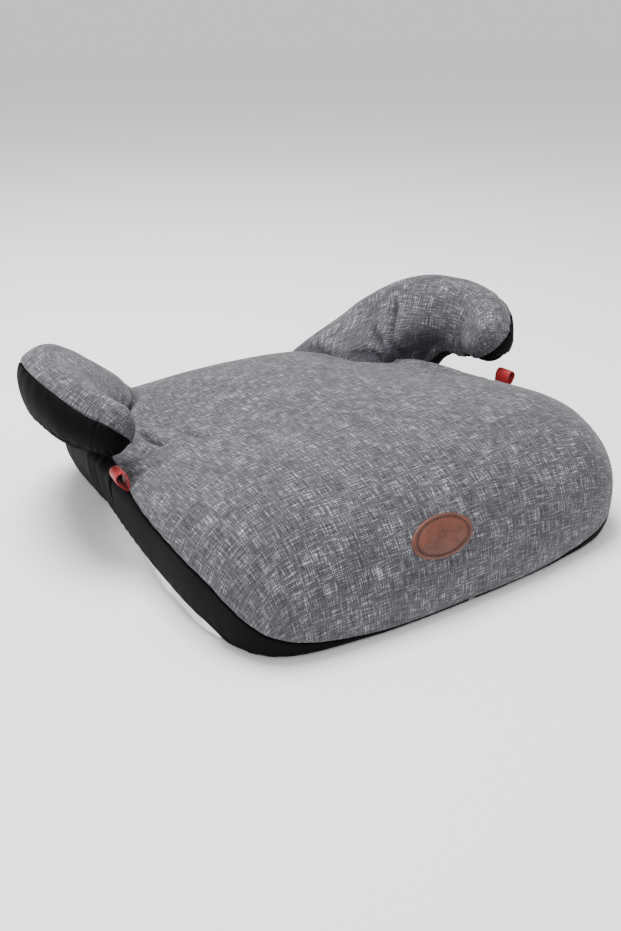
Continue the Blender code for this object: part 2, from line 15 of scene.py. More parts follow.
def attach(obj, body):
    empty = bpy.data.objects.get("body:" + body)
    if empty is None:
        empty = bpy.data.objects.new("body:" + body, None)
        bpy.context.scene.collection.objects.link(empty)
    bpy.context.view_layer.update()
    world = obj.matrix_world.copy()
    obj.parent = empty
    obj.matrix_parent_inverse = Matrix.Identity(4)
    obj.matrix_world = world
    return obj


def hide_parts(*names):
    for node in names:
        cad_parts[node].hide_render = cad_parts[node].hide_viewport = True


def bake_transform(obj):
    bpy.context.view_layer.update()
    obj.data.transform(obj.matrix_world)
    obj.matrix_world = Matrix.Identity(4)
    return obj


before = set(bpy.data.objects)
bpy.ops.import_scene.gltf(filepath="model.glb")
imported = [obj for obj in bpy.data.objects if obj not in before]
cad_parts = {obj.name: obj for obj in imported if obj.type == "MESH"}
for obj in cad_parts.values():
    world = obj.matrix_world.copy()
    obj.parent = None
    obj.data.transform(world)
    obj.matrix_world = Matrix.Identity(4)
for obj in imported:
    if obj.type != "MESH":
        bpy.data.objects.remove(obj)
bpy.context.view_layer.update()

# --- The part's own dimensions ----------------------------------------------------------------
HALF_BASE = (  # x, y, height of the widest line, lean of the wall, seam height, hem past the floor line
    (0.000, -0.2082, 0.012, 0.001, 0.0040, 0.012),
    (0.090, -0.2048, 0.013, 0.001, 0.0050, 0.012),
    (0.164, -0.1888, 0.028, 0.003, 0.0200, 0.006),
    (0.192, -0.1378, 0.050, 0.006, 0.0530, -0.014),
    (0.199, -0.0738, 0.058, 0.011, 0.0660, -0.024),
    (0.198, -0.0158, 0.062, 0.016, 0.0720, -0.026),
    (0.191, 0.0492, 0.060, 0.018, 0.0710, -0.020),
    (0.186, 0.1042, 0.054, 0.017, 0.0660, -0.006),
    (0.177, 0.1662, 0.045, 0.014, 0.0590, 0.008),
    (0.140, 0.2002, 0.043, 0.012, 0.0560, 0.012),
    (0.080, 0.2072, 0.043, 0.012, 0.0560, 0.012),
    (0.000, 0.2082, 0.043, 0.012, 0.0560, 0.012),
)
HORN = (  # x, y, z, half height, half thickness, outward lean
    (0.137, 0.1622, 0.044, 0.0380, 0.0330, 0.56),
    (0.161, 0.1462, 0.077, 0.0450, 0.0330, 0.52),
    (0.191, 0.1112, 0.105, 0.0445, 0.0300, 0.48),
    (0.208, 0.0652, 0.116, 0.0380, 0.0265, 0.42),
    (0.208, 0.0262, 0.117, 0.0300, 0.0240, 0.38),
    (0.194, 0.0002, 0.111, 0.0225, 0.0210, 0.36),
)
RIDGE_SEAM, BELLY_SEAM, INNER_SEAM = 70.0, -2.0, -104.0
HORN_TIP, HORN_SQUARE = 0.75, 0.9
CENTRE_TOP, REAR_TOP, CROWN, SIDE_FALL = 0.103, 0.074, 0.015, 0.024
DOME_EDGE, DOME_ROUND, FOOT_RADIUS, LIFT = 5.5, 2.35, 0.006, 0.0006
NECK_SEAM_Y, REAR_SEAM_Y = 0.006, 0.2025
CLOTH = 0.0015  # thickness of the drawn cover
SIDES = ((-1, "left"), (1, "right"))

STATIONS = 312  # columns round the base
DOME_SAMPLES = 80  # samples from the crown to the widest line
WALL_SAMPLES = 16
FOOT_SAMPLES = 12
HORN_ROWS = 121  # rows along an armrest
TIP_RINGS = 26
ROW_LENGTH = 0.045  # of one step of the HORN table
HORN_RADIUS = 0.030  # mean, for distances round an armrest

# --- What sewing and wear do to the cover -----------------------------------------------------
SEAM_ROLL = 0.0022  # radius of the cloth's turn into a seam
SEAM_GAP = 0.0001  # half of the slit between two panels
CORE_CLEARANCE = 0.0013  # the cover sinks no further than this where the foam is right below
PAD_SHARE, PAD_DEPTH = 0.80, 0.0100  # within this share of the base it may sink this far
FILL = 0.0009  # how far the stuffed cover stands out
HEM_RAISE = 0.0085  # extra, where the sides' hem is already above the floor line
DISH_DEPTH = 0.0065  # of the seat beside each armrest's foot
FLARE = {-1: 0.12, 1: 1.0}  # share of the foot's flare on each side
FOLD_SHARE = {-1: 0.3, 1: 1.0}  # share of the armrest folds' depth on each side
TIP_DROP, NECK_DROP, NECK_TUCK = 0.0075, 0.030, 0.024
SEAT_FOLDS = (  # by each armrest's neck, for the right-hand side: polyline in plan, depth, width
    (((0.150, 0.052, 0), (0.1535, 0.024, 0), (0.150, -0.002, 0)), 0.0042, 0.0042),
    (((0.129, 0.030, 0), (0.127, 0.012, 0), (0.124, -0.022, 0)), 0.0016, 0.0042),
    (((0.188, -0.012, 0), (0.180, -0.022, 0), (0.166, -0.030, 0)), 0.0016, 0.0042),
)
HORN_FOLDS = (  # polylines of (row, angle), depth, width
    (((0.62, 168), (0.85, 196), (1.10, 222), (1.45, 242), (1.90, 256)), 0.0048, 0.0036),
    (((1.52, 186), (1.72, 206), (1.98, 226), (2.38, 246)), 0.0042, 0.0030),
    (((1.84, 164), (1.95, 190), (2.12, 218), (2.44, 245)), 0.0046, 0.0030),
    (((1.32, 214), (1.80, 234), (2.30, 250)), 0.0036, 0.0028),
    (((1.10, 226), (1.62, 246), (2.20, 258)), 0.0034, 0.0028),
    (((1.66, 222), (2.00, 240), (2.36, 252)), 0.0026, 0.0022),
    (((2.30, 205), (2.42, 222), (2.55, 242)), 0.0012, 0.0030),
    (((2.95, 224), (2.78, 236), (2.62, 248)), 0.0010, 0.0030),
)


def bell(value, centre, width):
    """1 at the centre, falling off smoothly to 0 a few widths away."""
    return np.exp(-(((value - centre) / width) ** 2))


def ease(share):
    """A share from 0 to 1 with a level start and end."""
    return share * share * (3 - 2 * share)


def ramp(value, low, high):
    """0 at or below low, 1 at or above high, straight between. High may be the smaller one."""
    return np.clip((value - low) / (high - low), 0, 1)


# --- Base surface -----------------------------------------------------------------------------
def spline(rows, t):
    """Catmull-Rom through the rows of a table, at parameters counted in rows."""
    rows = np.asarray(rows, float)
    t = np.clip(np.asarray(t, float), 0, len(rows) - 1 - 1e-9)
    at = np.floor(t).astype(int)
    f = (t - at)[:, None]
    p = [rows[np.clip(at + k, 0, len(rows) - 1)] for k in (-1, 0, 1, 2)]
    cubic = -p[0] + 3 * p[1] - 3 * p[2] + p[3]
    square = 2 * p[0] - 5 * p[1] + 4 * p[2] - p[3]
    return 0.5 * (2 * p[1] + (p[2] - p[0]) * f + square * f**2 + cubic * f**3)


def even_parameters(rows, count):
    """Spline parameters that lie the same distance apart in plan."""
    fine = np.linspace(0, len(rows) - 1, 900)
    line = spline(rows, fine)[:, :2]
    run = np.concatenate([[0], np.cumsum(np.linalg.norm(np.diff(line, axis=0), axis=1))])
    return np.interp(np.linspace(0, run[-1], count), run, fine)


def top_height(x, y):
    """Height of the seat's crown, before it rounds over at its edge."""
    along = (y - HALF_BASE[0][1]) / (HALF_BASE[-1][1] - HALF_BASE[0][1])
    back = ease(ramp(y, -0.136, 0.014))
    rise = CENTRE_TOP + (REAR_TOP - CENTRE_TOP) * along + 4 * CROWN * along * (1 - along)
    return rise - SIDE_FALL * (x / 0.2) ** 2 * back


def profiles():
    """The base as columns: table rows, points, normals, arcs (0 at the floor line) and weave."""
    half = spline(HALF_BASE, even_parameters(HALF_BASE, STATIONS // 2 + 1))
    ring = np.concatenate([half, half[::-1][1:-1] * np.array([-1, 1, 1, 1, 1, 1])])
    reach = np.hypot(ring[:, 0], ring[:, 1])
    samples = []

    def level(inboard, z):
        share = (reach - inboard) / reach
        samples.append(np.stack([ring[:, 0] * share, ring[:, 1] * share, z + 0 * share], 1))

    for k in np.sin(np.linspace(0, 0.5 * math.pi, DOME_SAMPLES)):
        x, y = k * ring[:, 0], k * ring[:, 1]
        edge = (1 - min(k, 1.0) ** DOME_EDGE) ** (1 / DOME_ROUND)
        samples.append(np.stack([x, y, ring[:, 2] + (top_height(x, y) - ring[:, 2]) * edge], 1))
    drop = ring[:, 2] - LIFT - FOOT_RADIUS
    for _ in range(4):
        lean = np.arctan2(2 * ring[:, 3], drop)
        drop = ring[:, 2] - LIFT - FOOT_RADIUS * (1 - np.sin(lean))
    for v in np.linspace(0, 1, WALL_SAMPLES + 1)[1:]:
        level(ring[:, 3] * v**2, ring[:, 2] - drop * v)
    for turn in np.linspace(0, 1, FOOT_SAMPLES + 1)[1:]:
        tilt = lean + (0.5 * math.pi - lean) * turn
        bend = FOOT_RADIUS * (np.cos(lean) - np.cos(tilt))
        level(ring[:, 3] + bend, ring[:, 2] - drop - FOOT_RADIUS * (np.sin(tilt) - np.sin(lean)))
    floor = len(samples) - 1
    tucked = ring[:, 3] + FOOT_RADIUS * np.cos(lean)
    for inboard in np.linspace(0, 0.034, 8)[1:]:
        level(tucked + inboard, LIFT)
    points = np.stack(samples, 1)
    around = (np.roll(points, -1, axis=0) - np.roll(points, 1, axis=0)) / 2
    normals = -np.cross(around, np.gradient(points, axis=1))
    normals[:, 0] = (0, 0, 1)
    normals /= np.linalg.norm(normals, axis=2)[:, :, None]
    steps = np.linalg.norm(np.diff(points, axis=1), axis=2)
    arcs = np.concatenate([np.zeros((len(ring), 1)), np.cumsum(steps, axis=1)], axis=1)
    flat = np.linalg.norm(points[:, :, :2] - points[:, :1, :2], axis=2)
    out = np.stack([around[:, DOME_SAMPLES, 1], -around[:, DOME_SAMPLES, 0]], 1)
    out /= np.linalg.norm(out, axis=1)[:, None]
    weave = points[:, :, :2] + out[:, None, :] * (arcs - flat)[:, :, None]
    return ring, points, normals, arcs - arcs[:, floor : floor + 1], weave


RING, POINTS, NORMALS, ARCS, WEAVE = profiles()
COUNT = len(RING)
SPACING = float(np.hypot(*(RING[1, :2] - RING[0, :2])))


def arc_at_height(s, z):
    """Arc of the outer shoulder or wall at height z."""
    outer = slice(DOME_SAMPLES // 2, DOME_SAMPLES + WALL_SAMPLES + FOOT_SAMPLES - 1)
    return float(np.interp(-z, -POINTS[s, outer, 2], ARCS[s, outer]))


SEAM = np.array([arc_at_height(s, RING[s, 4]) for s in range(COUNT)])
HEM = RING[:, 5] - HEM_RAISE * ramp(RING[:, 5], 0, -0.014)


def station_at(y):
    """Station on the right-hand side at this y."""
    half = slice(18, COUNT // 2 - 18)
    return float(np.interp(y, RING[half, 1], np.arange(COUNT)[half]))


def column(s, arcs):
    """Points, normals and weave coordinates of one station at these arcs. s may lie between two."""
    low = math.floor(s)
    total = 0
    for index, weight in ((low % COUNT, 1 - s + low), ((low + 1) % COUNT, s - low)):
        rows = [
            np.stack([np.interp(arcs, ARCS[index], grid[index, :, i]) for i in range(grid.shape[2])], 1)
            for grid in (POINTS, NORMALS, WEAVE)
        ]
        total = total + weight * np.concatenate(rows, 1)
    return total


def base_grid(stations, arcs_of):
    """Rows and columns on the base, each point as position, normal and weave coordinates."""
    grid = np.array([column(s, arcs_of(s)) for s in stations]).transpose(1, 0, 2)
    grid[:, :, 3:6] /= np.linalg.norm(grid[:, :, 3:6], axis=2)[:, :, None]
    return grid


def per_station(values, s):
    """A value of each station, read between two."""
    low = math.floor(s)
    return values[low % COUNT] * (1 - s + low) + values[(low + 1) % COUNT] * (s - low)


# --- Armrest surface --------------------------------------------------------------------------
def horn_frames(count):
    """Centre, forward, outward, up and half sizes of each row along the right-hand armrest."""
    rows = spline(HORN, np.linspace(0, len(HORN) - 1, count))
    centres = rows[:, :3]
    forward = np.gradient(centres, axis=0)
    forward /= np.linalg.norm(forward, axis=1)[:, None]
    outward = np.stack([np.cos(rows[:, 5]), 0 * rows[:, 5], -np.sin(rows[:, 5])], 1)
    outward -= (outward * forward).sum(1)[:, None] * forward
    outward /= np.linalg.norm(outward, axis=1)[:, None]
    return centres, forward, outward, np.cross(forward, outward), rows[:, 3:5]


FRAMES = horn_frames(HORN_ROWS)


def section(angles, tall, thick, outward, up):
    """One row's outline about its centre: angle 0 points outward, 90 degrees up."""
    ca, sa = np.cos(angles), np.sin(angles)
    wide = np.sign(ca) * np.abs(ca) ** HORN_SQUARE * thick
    high = np.sign(sa) * np.abs(sa) ** HORN_SQUARE * tall
    return wide[:, None] * outward + high[:, None] * up


def horn_grid(side, angles, last_turn=89.0):
    """Like base_grid for an armrest, with each point's row and angle.

    Row 0 is the root, row 5 where the tip begins and row 6 its end.
    """
    centres, forward, outward, up, halves = FRAMES
    rings = [centres[i] + section(angles, *halves[i], outward[i], up[i]) for i in range(HORN_ROWS)]
    row = list(np.linspace(0, 5, HORN_ROWS))
    length = halves[-1, 0] * HORN_TIP
    tip = section(angles, *halves[-1], outward[-1], up[-1])
    for turn in np.radians(np.linspace(0, last_turn, TIP_RINGS + 1)[1:]):
        rings.append(centres[-1] + forward[-1] * length * math.sin(turn) + tip * math.cos(turn))
        row.append(5 + math.sin(turn))
    points = np.array(rings)
    normals = np.cross(np.gradient(points, axis=1), np.gradient(points, axis=0))
    normals /= np.linalg.norm(normals, axis=2)[:, :, None] + 1e-12
    along = np.linalg.norm(np.gradient(points, axis=0), axis=2).cumsum(0).mean(1)
    weave = np.stack(np.meshgrid(along, angles * float(halves.mean()), indexing="ij"), 2)
    mirror = np.array([side, 1, 1])
    grid = np.concatenate([points * mirror, normals * mirror, weave], 2)
    rows, turns = np.meshgrid(row, np.degrees(angles), indexing="ij")
    return grid, rows, turns


# --- Sewing and stretching --------------------------------------------------------------------
def to_line(points, line):
    """Distance of each point to a polyline, and the share along it."""
    line = np.asarray(line, float)
    lengths = np.linalg.norm(np.diff(line, axis=0), axis=1)
    starts = np.concatenate([[0], np.cumsum(lengths)])
    best = np.full(points.shape[:-1], 1e9)
    share = np.zeros(points.shape[:-1])
    for a, b, start, length in zip(line[:-1], line[1:], starts, lengths):
        t = np.clip(((points - a) @ (b - a)) / length**2, 0, 1)
        distance = np.linalg.norm(points - (a + t[..., None] * (b - a)), axis=-1)
        near = distance < best
        best = np.where(near, distance, best)
        share = np.where(near, (start + t * length) / starts[-1], share)
    return best, share


def groove(points, line, depth, width, lip=0.45, fade=0.12):
    """A crease's height and painted shade: a narrow valley with a soft lip each side, fading at both ends;
    the shade darkens the colour along the valley.
    """
    distance, share = to_line(points, line)
    ends = ease(ramp(share, 0, fade) * ramp(share, 1, 1 - fade))
    valley = lip * bell(distance, 1.9 * width, 1.1 * width) - np.exp(-distance / (0.62 * width))
    # painted shade, darkest on the valley's line
    shade = bell(distance, 0, 0.55 * width) * min(1, depth / 0.003)
    return np.stack([depth * valley * ends, shade * ends], -1)


def roll(distance, radius=SEAM_ROLL):
    """How far cloth turns in at a seam, this far from it."""
    rest = np.clip(radius - distance, 0, radius)
    return -(radius - np.sqrt(radius**2 - rest**2))


def uneven(points, size, seed, depth=2):
    """Smooth pseudo-random heights, about -1 to 1, over points."""
    flat = points.reshape(-1, 3) / size + seed
    values = [noise.fractal(Vector(p), 0.6, 2.0, depth) for p in flat]
    return np.array(values).reshape(points.shape[:-1])


def horn_distance(points, side):
    """Rough distance of points outside one armrest."""
    centres, forward, outward, up, halves = FRAMES
    best = np.full(points.shape[:-1], 1e9)
    half_step = 0.004
    for i in range(0, HORN_ROWS, 3):
        local = points * np.array([side, 1, 1]) - centres[i]
        ratio = np.hypot(local @ outward[i] / halves[i, 1], local @ up[i] / halves[i, 0])
        beyond = np.maximum(np.abs(local @ forward[i]) - half_step, 0)
        outside = np.maximum(ratio - 1, 0) * halves[i].mean()
        best = np.minimum(best, np.hypot(outside, beyond))
    return best


def base_relief(points):
    """Height and painted shade that every base panel shares: tension, hollows and the folds by the
    armrests, with painted shade in their creases.
    """
    total = np.zeros((*points.shape[:-1], 2))
    total[..., 0] = 0.00035 * uneven(points, 0.055, 3.0) - seat_dish(points)
    on_seat = points[..., 2:] > 0.06
    plan = points * np.array([1, 1, 0]) + np.where(on_seat, 0, 1.0)  # the folds keep off the walls
    for side, _ in SIDES:
        near = horn_distance(points, side)
        total[..., 0] += 0.0007 * bell(near, 0.010, 0.006) - 0.0026 * bell(near, 0, 0.0035)
        # painted shade in the crease round each armrest's foot
        total[..., 1] += 0.7 * bell(near, 0, 0.0040)
        for line, depth, width in SEAT_FOLDS:
            total += groove(plan, np.array(line) * np.array([side, 1, 0]), depth, width)
    return total


def over_core(points, lift):
    """Keeps the cover from sinking into the foam outside the seat pad, and fills it out a little."""
    reach = np.hypot(points[..., 0] / 0.195, points[..., 1] / 0.205)
    lowest = np.where(reach < PAD_SHARE, -PAD_DEPTH, -CORE_CLEARANCE)
    return np.maximum(lift + FILL * ramp(points[..., 2], 0.004, 0.014), lowest)


def above_base(points):
    """Rough height of points over the seat surface."""
    near = np.abs(points[..., 0]) < 0.175
    return np.where(near, points[..., 2] - top_height(points[..., 0], points[..., 1]), 0.05)


def seat_dish(points):
    """How far the seat sinks beside each armrest's foot."""
    x, y = np.abs(points[..., 0]), points[..., 1]
    across = ease(ramp(x, 0.040, 0.100) * ramp(x, 0.158, 0.128))
    return DISH_DEPTH * across * bell(y, 0.065, 0.070)


def foot_flare(points, row, angle, side):
    """Moves the inner face of an armrest's foot inboard, where its cloth slopes into the seat."""
    height = points[..., 2] - top_height(points[..., 0], points[..., 1])
    low = np.clip(1 - height / 0.058, 0, 1.2)
    first = np.interp(row, (0, 0.5, 1.3), (74, 92, 158))
    inside = ease(ramp(angle, first, first + 45))
    reach = np.interp(row, (1.5, 2.15, 2.7), (0.056, 0.048, 0))
    shift = FLARE[side] * reach * low**1.5 * inside
    return points - np.stack([side * shift, 0.25 * shift, 0.04 * shift], -1)


def fatten(points, row, angle):
    """Drops the underside of an armrest: a fuller tip, and the neck's cloth down to the seat."""
    tip = bell(row, 3.9, 0.75) * bell(angle, 250, 42)
    neck = np.exp(-(((row - 2.45) / 0.42) ** 4)) * bell(angle, 272, 26)
    out = points.copy()
    out[..., 2] -= TIP_DROP * tip + NECK_DROP * neck
    out[..., 0] -= np.sign(points[..., 0]) * NECK_TUCK * neck
    return out


def horn_relief(points, row, angle, side):
    """Height and painted shade of an armrest's cloth."""
    place = np.stack([row * ROW_LENGTH, np.radians(angle) * HORN_RADIUS, 0 * row], -1)
    total = np.zeros((*points.shape[:-1], 2))
    total[..., 0] = 0.0006 * uneven(points, 0.030, 8.0 + side)
    for line, depth, width in HORN_FOLDS:
        path = [(r * ROW_LENGTH, math.radians(a) * HORN_RADIUS, 0) for r, a in line]
        total += groove(place, path, FOLD_SHARE[side] * depth, width)
    if side < 0:
        total[..., 0] += 0.0080 * bell(row, 2.5, 0.8) * bell(angle, 215, 45)
    else:
        # right armrest: a real hollow in the cloth, plus painted shade in it and over the lower inner face
        hollow = bell(row, 2.55, 0.50) * bell(angle, 240, 30)
        total[..., 0] -= 0.0045 * hollow
        total[..., 1] += 0.75 * hollow + 0.35 * bell(row, 2.3, 0.9) * bell(angle, 225, 45)
    return total


# --- Mesh building ----------------------------------------------------------------------------
def grid_faces(rows, columns, wrap):
    """Quads between the rows and columns of a grid, closed round if wrap."""
    last = columns if wrap else columns - 1
    r, c = np.meshgrid(np.arange(rows - 1), np.arange(last), indexing="ij")
    a, b = (r * columns + c).ravel(), (r * columns + (c + 1) % columns).ravel()
    return np.stack([a, b, b + columns, a + columns], 1).tolist()


def build(name, vertices, faces, finish, body="seat", weave=None, smooth=True):
    """A mesh object with its material, riding on a body. The weave attribute is (along, across, painted
    shade).
    """
    mesh = bpy.data.meshes.new(name)
    mesh.from_pydata(np.asarray(vertices, float).tolist(), [], faces)
    if weave is not None:
        layer = mesh.attributes.new("weave", "FLOAT_VECTOR", "POINT")
        coordinates = np.zeros((len(vertices), 3), np.float32)
        coordinates[:, : weave.shape[1]] = weave
        layer.data.foreach_set("vector", coordinates.ravel())
    mesh.materials.append(finish)
    mesh.validate()
    if smooth:
        mesh.shade_smooth()
    made = bpy.data.objects.new(name, mesh)
    bpy.context.scene.collection.objects.link(made)
    if body:
        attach(made, body)
    return made


def shell(name, grid, lift, finish, shade=None, wrap=False, centre=None, thick=CLOTH):
    """A closed cloth panel from a grid, raised by lift along its normals, with its own thickness."""
    points, normals = grid[..., :3], grid[..., 3:6]
    shade = np.zeros(lift.shape) if shade is None else np.clip(shade, 0, 1)
    # the weave attribute's third value carries the painted shade that darkens the cloth's colour
    weave = np.concatenate([grid[..., 6:8], shade[..., None]], -1)
    rows, columns = points.shape[:2]
    size = rows * columns
    outer = points + normals * lift[..., None]
    inner = points + normals * (np.minimum(lift, 0) - thick)[..., None]
    vertices = [outer.reshape(-1, 3), inner.reshape(-1, 3)]
    faces = grid_faces(rows, columns, wrap)
    faces = faces + [[size + i for i in reversed(f)] for f in faces]

    def close(a, b):
        faces.append([b, a, size + a, size + b])

    for c in range(columns if wrap else columns - 1):
        d = (c + 1) % columns
        close((rows - 1) * columns + d, (rows - 1) * columns + c)
        if centre is None:
            close(c, d)
        else:
            faces.append([2 * size, d, c])
            faces.append([2 * size + 1, size + c, size + d])
    if not wrap:
        for r in range(rows - 1):
            close((r + 1) * columns, r * columns)
            close(r * columns + columns - 1, (r + 1) * columns + columns - 1)
    coordinates = [weave.reshape(-1, 3)] * 2
    if centre is not None:
        vertices += [[centre], [np.asarray(centre) - (0, 0, thick)]]
        coordinates += [np.zeros((2, 3))]
    made = build(name, np.concatenate(vertices), faces, finish, weave=np.concatenate(coordinates))
    return outward_faces(made)


def outward_faces(made):
    """Turns the faces of a closed mesh outwards."""
    solid = bmesh.new()
    solid.from_mesh(made.data)
    bmesh.ops.recalc_face_normals(solid, faces=solid.faces)
    solid.to_mesh(made.data)
    solid.free()
    return made


# --- Materials --------------------------------------------------------------------------------
class Shader:
    """Short calls for building one material's nodes."""

    def __init__(self, name, colour, roughness, **values):
        self.material = bpy.data.materials.new(name)
        self.material.use_nodes = True
        self.tree = self.material.node_tree
        self.surface = self.tree.nodes["Principled BSDF"]
        self.surface.inputs["Base Color"].default_value = (*colour, 1)
        self.surface.inputs["Roughness"].default_value = roughness
        for key, value in values.items():
            self.surface.inputs[key.replace("_", " ")].default_value = value

    def node(self, kind, links=(), **settings):
        made = self.tree.nodes.new("ShaderNode" + kind)
        for key, value in settings.items():
            setattr(made, key, value)
        for socket, value in links:
            if isinstance(value, bpy.types.NodeSocket):
                self.tree.links.new(value, made.inputs[socket])
            else:
                made.inputs[socket].default_value = value
        return made

    def weave(self):
        return self.node("Attribute", attribute_name="weave").outputs["Vector"]

    def place(self):
        return self.node("TexCoord").outputs["Object"]

    def noise(self, vector, scale, detail=2.0, rough=0.5, size=1.0):
        stretched = self.node("Mapping", [("Vector", vector), ("Scale", scale)]).outputs[0]
        links = [("Vector", stretched), ("Scale", size), ("Detail", detail), ("Roughness", rough)]
        return self.node("TexNoise", links).outputs["Fac"]

    def math(self, operation, a, b=0.0, clamp=False):
        made = self.node("Math", [(0, a), (1, b)], operation=operation)
        made.use_clamp = clamp
        return made.outputs[0]

    def remap(self, value, low, high, to_low=0.0, to_high=1.0):
        links = [("Value", value), (1, low), (2, high), (3, to_low), (4, to_high)]
        return self.node("MapRange", links).outputs[0]

    def ramp(self, value, stops):
        made = self.node("ValToRGB", [("Fac", value)])
        elements = made.color_ramp.elements
        while len(elements) < len(stops):
            elements.new(0.5)
        for element, (position, colour) in zip(elements, stops):
            element.position = position
            element.color = (*colour, 1)
        return made.outputs["Color"]

    def mix(self, factor, a, b, blend="MIX"):
        made = self.node("Mix", data_type="RGBA", blend_type=blend)
        for socket, value in ((0, factor), (6, a), (7, b)):
            if isinstance(value, bpy.types.NodeSocket):
                self.tree.links.new(value, made.inputs[socket])
            elif socket == 0:
                made.inputs[0].default_value = value
            else:
                made.inputs[socket].default_value = (*value, 1)
        return made.outputs[2]

    def paint(self, colour):
        self.tree.links.new(colour, self.surface.inputs["Base Color"])

    def rough(self, value):
        self.tree.links.new(value, self.surface.inputs["Roughness"])

    def bump(self, height, distance, strength=1.0):
        made = self.node("Bump", [("Height", height), ("Distance", distance), ("Strength", strength)])
        self.tree.links.new(made.outputs[0], self.surface.inputs["Normal"])


def threads(s, vector, pitch):
    """A plain weave's height, from 0 to 1, at this pitch."""
    parts = s.node("SeparateXYZ", [("Vector", vector)])
    turn = 2 * math.pi / pitch
    warp = s.math("SINE", s.math("MULTIPLY", parts.outputs[0], turn))
    weft = s.math("SINE", s.math("MULTIPLY", parts.outputs[1], turn))
    product = s.math("MULTIPLY", warp, weft)
    return s.math("MULTIPLY_ADD", product, 0.5)  # the node's own third input adds 0.5


def grey_melange():
    s = Shader("grey_melange", (0.2, 0.2, 0.22), 0.88, Sheen_Weight=0.10, Sheen_Roughness=0.45)
    at = s.weave()
    warp = s.noise(at, (1250, 75, 0), 2, 0.55)
    weft = s.noise(at, (75, 1250, 0), 2, 0.55)
    grain = s.noise(at, (1100, 1100, 0), 2, 0.65)
    high = s.math("MAXIMUM", warp, weft)
    low = s.math("MINIMUM", warp, weft)
    mixed = s.math("ADD", s.math("MULTIPLY", high, 0.62), s.math("MULTIPLY", low, 0.38))
    mixed = s.math("ADD", s.math("MULTIPLY", mixed, 0.72), s.math("MULTIPLY", grain, 0.28))
    patch = s.noise(at, (32, 32, 0), 3, 0.6)
    mixed = s.math("ADD", mixed, s.math("MULTIPLY", s.math("SUBTRACT", patch, 0.5), 0.10))
    stops = (
        (0.40, (0.010, 0.010, 0.014)),
        (0.50, (0.050, 0.049, 0.057)),
        (0.57, (0.115, 0.113, 0.127)),
        (0.64, (0.60, 0.60, 0.62)),
    )
    # Painted shade: the weave attribute's third value mixes in a darker, bluer copy of the cloth in
    # creases, along seams and over the right armrest's inner face.
    painted_shade = s.node("SeparateXYZ", [("Vector", at)]).outputs[2]
    painted_shade_colour = s.mix(1.0, s.ramp(mixed, stops), (0.13, 0.13, 0.19), "MULTIPLY")
    s.paint(s.mix(s.math("MULTIPLY", painted_shade, 0.92), s.ramp(mixed, stops), painted_shade_colour))
    height = s.math("ADD", s.math("MULTIPLY", threads(s, at, 0.0011), 0.35), mixed)
    s.bump(height, 0.00035, 0.75)
    return s.material


def black_cloth():
    s = Shader("black_cloth", (0.006, 0.006, 0.007), 0.72, Specular_IOR_Level=0.06)
    at = s.weave()
    grain = s.noise(at, (420, 420, 1), 3, 0.6)
    fade = s.noise(at, (14, 14, 1), 2, 0.5)
    mixed = s.math("ADD", s.math("MULTIPLY", grain, 0.5), s.math("MULTIPLY", fade, 0.5))
    s.paint(s.ramp(mixed, ((0.35, (0.0010, 0.0010, 0.0012)), (0.65, (0.0034, 0.0034, 0.0038)))))
    s.bump(s.math("ADD", threads(s, at, 0.0009), grain), 0.0002, 0.6)
    return s.material


def red_webbing():
    s = Shader("red_webbing", (0.6, 0.01, 0.02), 0.5, Sheen_Weight=0.15, Sheen_Roughness=0.4)
    parts = s.node("SeparateXYZ", [("Vector", s.weave())])
    ribs = s.math("SINE", s.math("MULTIPLY", parts.outputs[1], 2 * math.pi / 0.0011))
    across = s.math("SINE", s.math("MULTIPLY", parts.outputs[0], 2 * math.pi / 0.0022))
    ribs = s.math("MULTIPLY_ADD", s.math("ADD", ribs, s.math("MULTIPLY", across, 0.5)), 0.33)
    wear = s.noise(s.weave(), (240, 240, 1), 3, 0.6)
    tone = s.math("ADD", s.math("MULTIPLY", ribs, 0.12), wear)
    s.paint(s.ramp(tone, ((0.3, (0.16, 0.0005, 0.002)), (0.7, (0.40, 0.001, 0.005)))))
    s.bump(ribs, 0.0003, 0.8)
    return s.material


def brown_leather():
    s = Shader("brown_leather", (0.3, 0.1, 0.05), 0.46, Coat_Weight=0.08, Coat_Roughness=0.4)
    at = s.place()
    cells = s.node("TexVoronoi", [("Vector", at), ("Scale", 900.0)], feature="DISTANCE_TO_EDGE")
    pores = s.math("MINIMUM", s.math("MULTIPLY", cells.outputs["Distance"], 3.0), 1.0)
    patina = s.noise(at, (90, 90, 90), 4, 0.6)
    s.paint(s.ramp(patina, ((0.32, (0.070, 0.017, 0.008)), (0.70, (0.150, 0.040, 0.020)))))
    s.rough(s.remap(patina, 0.3, 0.7, 0.40, 0.56))
    s.bump(s.math("ADD", pores, s.math("MULTIPLY", patina, 0.6)), 0.0002, 0.6)
    return s.material


def thread(name, colour):
    s = Shader(name, colour, 0.6, Sheen_Weight=0.1)
    twist = s.node("TexWave", [("Vector", s.place()), ("Scale", 700.0)], bands_direction="DIAGONAL")
    dark = tuple(c * 0.55 for c in colour)
    s.paint(s.mix(twist.outputs["Fac"], dark, colour))
    s.bump(twist.outputs["Fac"], 0.0001, 0.7)
    return s.material


